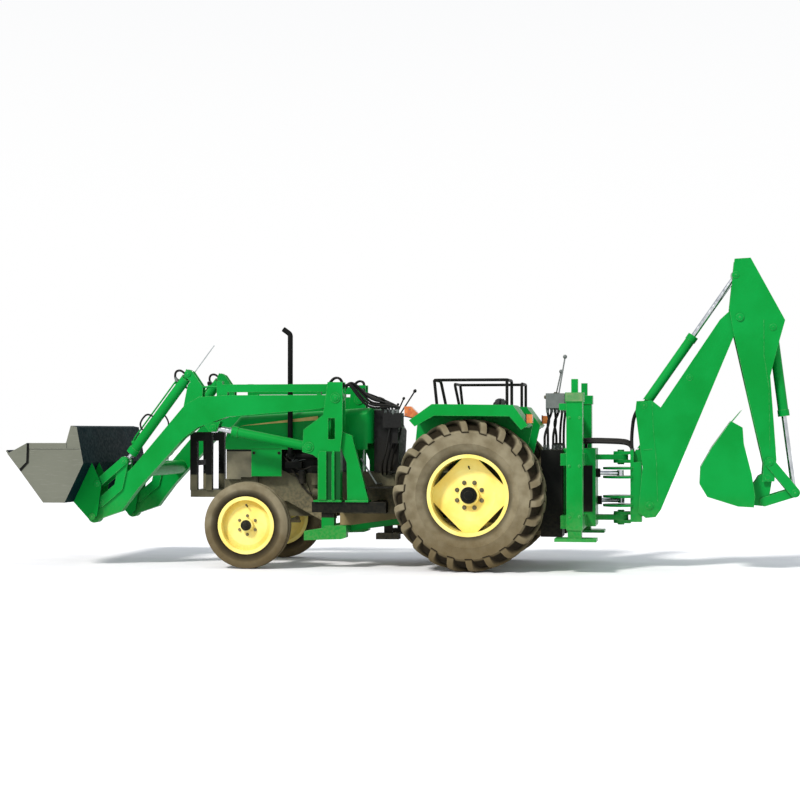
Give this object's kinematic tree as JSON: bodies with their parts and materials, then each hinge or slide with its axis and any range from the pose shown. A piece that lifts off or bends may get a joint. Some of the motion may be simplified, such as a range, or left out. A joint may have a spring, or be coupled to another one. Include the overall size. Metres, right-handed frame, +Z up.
{
  "type": "farm tractor with front loader and backhoe",
  "caption": "Open farm tractor with a front loader bucket on lift arms and a rear backhoe on a swing post between stabilizer legs.",
  "frame": {"origin": "middle of the machine's base on the ground", "axes": "+X forward towards the loader bucket, +Y to the machine's left, +Z up"},
  "size_m": [7.468, 1.8, 2.913],
  "materials": {
    "green_paint": "gloss paint",
    "bucket_grey": "worn paint",
    "black_paint": "satin paint",
    "cast_grey": "dusty cast iron",
    "tyre_rubber": "dusty rubber",
    "yellow_paint": "gloss paint",
    "rod_chrome": "polished",
    "seat_black": "vinyl cover",
    "moulded_black": "matt",
    "lamp_orange": "lens",
    "valve_grey": "satin paint"
  },
  "bodies": {
    "chassis": {"engine_block": "cast_grey", "gearbox_housing": "cast_grey", "front_support": "cast_grey", "front_axle_beam": "cast_grey", "hood": "green_paint", "grille": "black_paint", "front_guard": "black_paint", "exhaust_stack": "black_paint", "platform": "black_paint", "dash_console": "moulded_black", "steering_wheel": "moulded_black", "seat_base": "black_paint", "seat_pads": "seat_black", "fenders": "green_paint", "fender_rails": "black_paint", "lamps": "lamp_orange", "loader_posts": "green_paint", "loader_subframe": "black_paint", "hydraulic_tank": "black_paint", "backhoe_frame": "green_paint", "swing_barrels": "black_paint", "valve_bank": "valve_grey", "valve_hoses": "moulded_black"},
    "rear_wheel_left": {"rear_tyre_left": "tyre_rubber", "rear_rim_left": "yellow_paint"},
    "rear_wheel_right": {"rear_tyre_right": "tyre_rubber", "rear_rim_right": "yellow_paint"},
    "knuckle_left": {"knuckle_left": "cast_grey"},
    "front_wheel_left": {"front_tyre_left": "tyre_rubber", "front_rim_left": "yellow_paint"},
    "knuckle_right": {"knuckle_right": "cast_grey"},
    "front_wheel_right": {"front_tyre_right": "tyre_rubber", "front_rim_right": "yellow_paint"},
    "tie_rod": {"tie_rod": "cast_grey"},
    "loader_arms": {"loader_arms": "green_paint", "loader_pipes": "green_paint"},
    "lift_barrel": {"lift_barrels": "green_paint"},
    "lift_rod": {"lift_rods": "rod_chrome"},
    "loader_bucket": {"loader_bucket": "bucket_grey"},
    "tilt_rocker": {"tilt_rockers": "green_paint"},
    "tilt_link": {"tilt_links": "green_paint"},
    "tilt_barrel": {"tilt_barrels": "green_paint"},
    "tilt_rod": {"tilt_rods": "rod_chrome"},
    "stabilizer_left": {"stabilizer_leg_left": "green_paint"},
    "stabilizer_right": {"stabilizer_leg_right": "green_paint"},
    "swing_post": {"swing_post": "green_paint"},
    "swing_rod_left": {"swing_rod_left": "rod_chrome"},
    "swing_rod_right": {"swing_rod_right": "rod_chrome"},
    "boom_barrel": {"boom_barrel": "green_paint"},
    "boom_rod": {"boom_rod": "rod_chrome"},
    "dipper_barrel": {"dipper_barrel": "green_paint"},
    "dipper_rod": {"dipper_rod": "rod_chrome"},
    "curl_barrel": {"curl_barrel": "green_paint"},
    "curl_rod": {"curl_rod": "rod_chrome"},
    "boom": {"boom": "green_paint"},
    "dipper": {"dipper": "green_paint"},
    "hoe_bucket": {"hoe_bucket": "green_paint"},
    "hoe_guide": {"hoe_guides": "green_paint"},
    "hoe_push": {"hoe_push_links": "green_paint"}
  },
  "joints": [
    {"name": "rear_spin_left", "type": "hinge", "parent": "chassis", "child": "rear_wheel_left", "pos_m": [-0.722, 0.65, 0.705], "axis": [0, 1, 0], "continuous": true},
    {"name": "rear_spin_right", "type": "hinge", "parent": "chassis", "child": "rear_wheel_right", "pos_m": [-0.722, -0.65, 0.705], "axis": [0, 1, 0], "continuous": true},
    {"name": "steer_left", "type": "hinge", "parent": "chassis", "child": "knuckle_left", "pos_m": [1.388, 0.585, 0.41], "axis": [0, 0, 1], "range_deg": [-45, 45]},
    {"name": "front_spin_left", "type": "hinge", "parent": "knuckle_left", "child": "front_wheel_left", "pos_m": [1.388, 0.7, 0.41], "axis": [0, 1, 0], "continuous": true},
    {"name": "steer_right", "type": "hinge", "parent": "chassis", "child": "knuckle_right", "pos_m": [1.388, -0.585, 0.41], "axis": [0, 0, 1], "range_deg": [-45, 45]},
    {"name": "front_spin_right", "type": "hinge", "parent": "knuckle_right", "child": "front_wheel_right", "pos_m": [1.388, -0.7, 0.41], "axis": [0, 1, 0], "continuous": true},
    {"name": "tie_rod_pivot", "type": "hinge", "parent": "knuckle_left", "child": "tie_rod", "pos_m": [1.218, 0.585, 0.41], "axis": [0, 0, 1], "range_deg": [-45.9, 45.9]},
    {"name": "loader_lift", "type": "hinge", "parent": "chassis", "child": "loader_arms", "pos_m": [0.56, 0, 1.612], "axis": [0, -1, 0], "range_deg": [-10, 55]},
    {"name": "lift_barrel_swing", "type": "hinge", "parent": "chassis", "child": "lift_barrel", "pos_m": [0.815, 0, 1.147], "axis": [0, 1, 0], "range_deg": [-52.75, 9.59]},
    {"name": "lift_rod_slide", "type": "slide", "parent": "lift_barrel", "child": "lift_rod", "axis": [0.9817, 0, 0.1905], "range_m": [-0.09, 0.4948]},
    {"name": "loader_tilt", "type": "hinge", "parent": "loader_arms", "child": "loader_bucket", "pos_m": [2.949, 0, 0.473], "axis": [0, 1, 0], "range_deg": [0, 140]},
    {"name": "tilt_rocker_swing", "type": "hinge", "parent": "loader_arms", "child": "tilt_rocker", "pos_m": [2.875, 0, 0.61], "axis": [0, 1, 0], "range_deg": [0, 128.66]},
    {"name": "tilt_link_swing", "type": "hinge", "parent": "tilt_rocker", "child": "tilt_link", "pos_m": [2.644, 0, 1.008], "axis": [0, 1, 0], "range_deg": [-52.68, 0]},
    {"name": "tilt_barrel_swing", "type": "hinge", "parent": "loader_arms", "child": "tilt_barrel", "pos_m": [2.011, 0, 1.846], "axis": [0, 1, 0], "range_deg": [-8.93, 0]},
    {"name": "tilt_rod_slide", "type": "slide", "parent": "tilt_barrel", "child": "tilt_rod", "axis": [0.6027, 0, -0.7979], "range_m": [0, 0.8084]},
    {"name": "stabilizer_drop_left", "type": "slide", "parent": "chassis", "child": "stabilizer_left", "axis": [0, 0, -1], "range_m": [0, 0.4]},
    {"name": "stabilizer_drop_right", "type": "slide", "parent": "chassis", "child": "stabilizer_right", "axis": [0, 0, -1], "range_m": [0, 0.4]},
    {"name": "swing", "type": "hinge", "parent": "chassis", "child": "swing_post", "pos_m": [-2.084, 0, 0.48], "axis": [0, 0, 1], "range_deg": [-75, 75]},
    {"name": "swing_rod_slide_left", "type": "slide", "parent": "chassis", "child": "swing_rod_left", "axis": [-1, 0, 0], "range_m": [-0.1281, 0.1281]},
    {"name": "swing_rod_slide_right", "type": "slide", "parent": "chassis", "child": "swing_rod_right", "axis": [-1, 0, 0], "range_m": [-0.1281, 0.1281]},
    {"name": "boom_lower", "type": "hinge", "parent": "swing_post", "child": "boom", "pos_m": [-2.357, 0, 0.597], "axis": [0, -1, 0], "range_deg": [-5, 75]},
    {"name": "boom_barrel_swing", "type": "hinge", "parent": "swing_post", "child": "boom_barrel", "pos_m": [-2.252, 0, 1.075], "axis": [0, 1, 0], "range_deg": [-82.96, 5.53]},
    {"name": "boom_rod_slide", "type": "slide", "parent": "boom_barrel", "child": "boom_rod", "axis": [-0.552, 0, 0.8338], "range_m": [-0.0404, 0.6054]},
    {"name": "dipper_out", "type": "hinge", "parent": "boom", "child": "dipper", "pos_m": [-3.193, 0, 2.36], "axis": [0, 1, 0], "range_deg": [0, 95]},
    {"name": "dipper_barrel_swing", "type": "hinge", "parent": "boom", "child": "dipper_barrel", "pos_m": [-2.307, 0, 1.54], "axis": [0, 1, 0], "range_deg": [0, 1.57]},
    {"name": "dipper_rod_slide", "type": "slide", "parent": "dipper_barrel", "child": "dipper_rod", "axis": [-0.5729, 0, 0.8196], "range_m": [-0.5972, 0]},
    {"name": "hoe_curl", "type": "hinge", "parent": "dipper", "child": "hoe_bucket", "pos_m": [-3.441, 0, 0.868], "axis": [0, 1, 0], "range_deg": [0, 140]},
    {"name": "hoe_guide_swing", "type": "hinge", "parent": "dipper", "child": "hoe_guide", "pos_m": [-3.46, 0, 1.008], "axis": [0, 1, 0], "range_deg": [0, 109.93]},
    {"name": "hoe_push_swing", "type": "hinge", "parent": "hoe_guide", "child": "hoe_push", "pos_m": [-3.688, 0, 0.729], "axis": [0, 1, 0], "range_deg": [-45.73, 0]},
    {"name": "curl_barrel_swing", "type": "hinge", "parent": "dipper", "child": "curl_barrel", "pos_m": [-3.496, 0, 2.263], "axis": [0, 1, 0], "range_deg": [0, 2.45]},
    {"name": "curl_rod_slide", "type": "slide", "parent": "curl_barrel", "child": "curl_rod", "axis": [-0.1242, 0, -0.9923], "range_m": [-0.5915, 0]}
  ],
  "couplings": [
    {"joint": "steer_right", "follows": "steer_left", "ratio": 1},
    {"joint": "tie_rod_pivot", "follows": "steer_left", "ratio": -1},
    {"joint": "lift_barrel_swing", "follows": "loader_lift", "ratio": -0.94025},
    {"joint": "lift_rod_slide", "follows": "loader_lift", "m_per_rad": 0.50532},
    {"joint": "tilt_rocker_swing", "follows": "loader_tilt", "ratio": 0.90096},
    {"joint": "tilt_link_swing", "follows": "loader_tilt", "ratio": -0.36893},
    {"joint": "tilt_barrel_swing", "follows": "loader_tilt", "ratio": -0.062563},
    {"joint": "tilt_rod_slide", "follows": "loader_tilt", "m_per_rad": 0.32436},
    {"joint": "swing_rod_slide_left", "follows": "swing", "m_per_rad": 0.095929},
    {"joint": "swing_rod_slide_right", "follows": "swing", "m_per_rad": -0.095929},
    {"joint": "boom_barrel_swing", "follows": "boom_lower", "ratio": -1.0845},
    {"joint": "boom_rod_slide", "follows": "boom_lower", "m_per_rad": 0.4534},
    {"joint": "dipper_barrel_swing", "follows": "dipper_out", "ratio": 0.016157},
    {"joint": "dipper_rod_slide", "follows": "dipper_out", "m_per_rad": -0.35313},
    {"joint": "hoe_guide_swing", "follows": "hoe_curl", "ratio": 0.76983},
    {"joint": "hoe_push_swing", "follows": "hoe_curl", "ratio": -0.32026},
    {"joint": "curl_barrel_swing", "follows": "hoe_curl", "ratio": 0.017168},
    {"joint": "curl_rod_slide", "follows": "hoe_curl", "m_per_rad": -0.23733}
  ]
}
